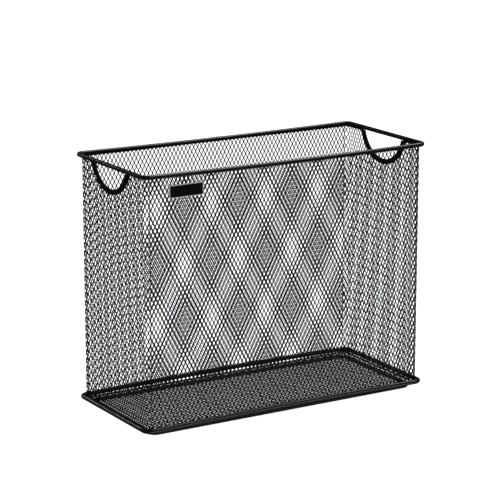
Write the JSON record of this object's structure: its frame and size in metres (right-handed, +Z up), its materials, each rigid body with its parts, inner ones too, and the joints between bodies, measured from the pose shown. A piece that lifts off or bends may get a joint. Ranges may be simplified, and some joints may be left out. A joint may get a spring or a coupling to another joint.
{
  "type": "hanging file rack",
  "caption": "Open-top desk rack of black expanded steel mesh on bent round wires, with a rounded hand opening in each end; letter-size hanging folders hook over the rim.",
  "frame": {"origin": "bottom centre of the rack, on the surface it stands on", "axes": "+X along the long front, from the nameplate's end to the other end; -Y out of the front wall, which carries the nameplate; +Z up"},
  "size_m": [0.3176, 0.1397, 0.2508],
  "materials": {
    "wire_coat": "satin black powder coat",
    "mesh_coat": "satin black powder coat on expanded mesh",
    "edging_coat": "satin black",
    "plate_metal": "bright border",
    "plate_face": "smooth black"
  },
  "bodies": {
    "root": {"top_rim_wire": "wire_coat", "base_hoop_wire": "wire_coat", "floor_support_wire": "wire_coat", "front_mesh_wall": "mesh_coat", "back_mesh_wall": "mesh_coat", "left_end_mesh_wall": "mesh_coat", "right_end_mesh_wall": "mesh_coat", "mesh_floor": "mesh_coat", "left_handle_edging": "edging_coat", "right_handle_edging": "edging_coat", "nameplate": "plate_metal", "nameplate_insert": "plate_face"}
  },
  "joints": []
}
